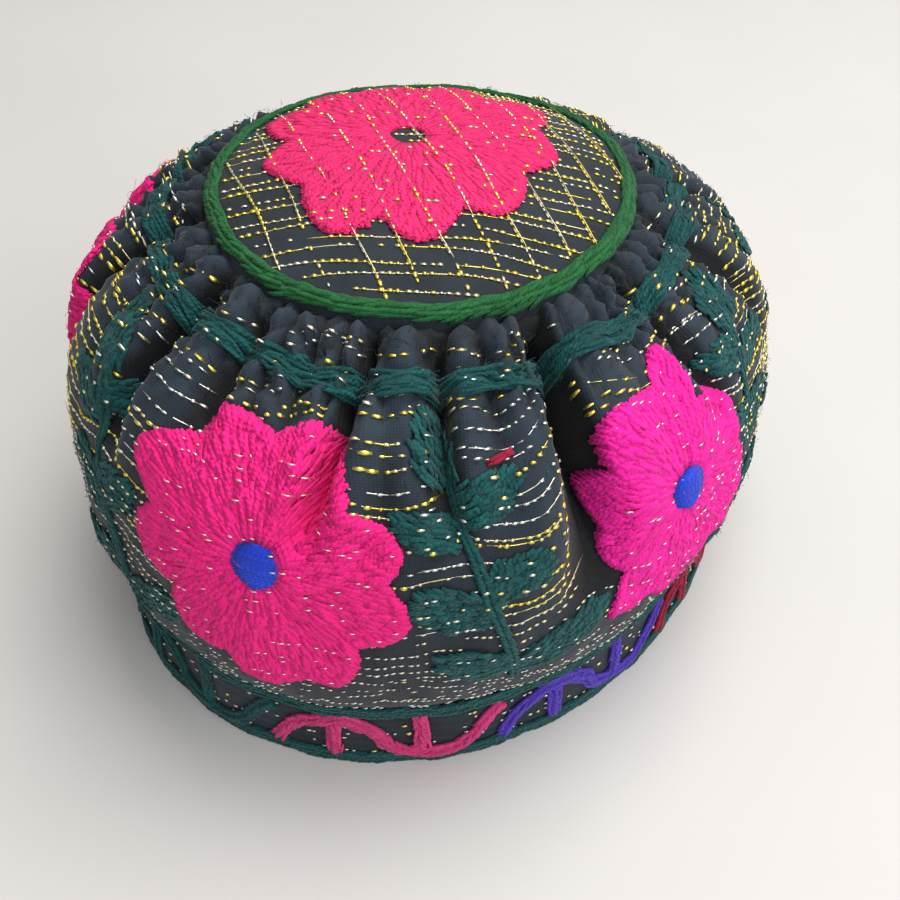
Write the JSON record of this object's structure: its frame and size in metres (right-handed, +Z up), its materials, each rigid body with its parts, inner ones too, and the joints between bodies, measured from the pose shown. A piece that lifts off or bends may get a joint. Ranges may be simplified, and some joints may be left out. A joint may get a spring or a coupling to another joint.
{
  "type": "tubeteika skullcap",
  "caption": "Oval embroidered skullcap with a domed crown, a gathered and pleated bulging wall, stitched cord rings and a straight hem band.",
  "frame": {"origin": "middle of the rim on the surface that the cap rests on", "axes": "+Z up through the crown, +Y along the long axis of the head oval"},
  "size_m": [0.1752, 0.2008, 0.1191],
  "materials": {
    "charcoal_cloth": "matt woven cotton with rows of metallic weft",
    "green_thread": "matt chain-stitched cotton",
    "teal_thread": "matt fuzzy wool stitches",
    "pink_thread": "satin-stitched floss with a soft sheen",
    "blue_thread": "satin-stitched floss",
    "purple_thread": "chain-stitched floss",
    "metallic_thread": "flat glinting gold and silver weft"
  },
  "bodies": {
    "root": {"crown": "charcoal_cloth", "crown_cord": "green_thread", "wall": "charcoal_cloth", "gather_cord": "teal_thread", "hem_band": "charcoal_cloth"}
  },
  "joints": []
}
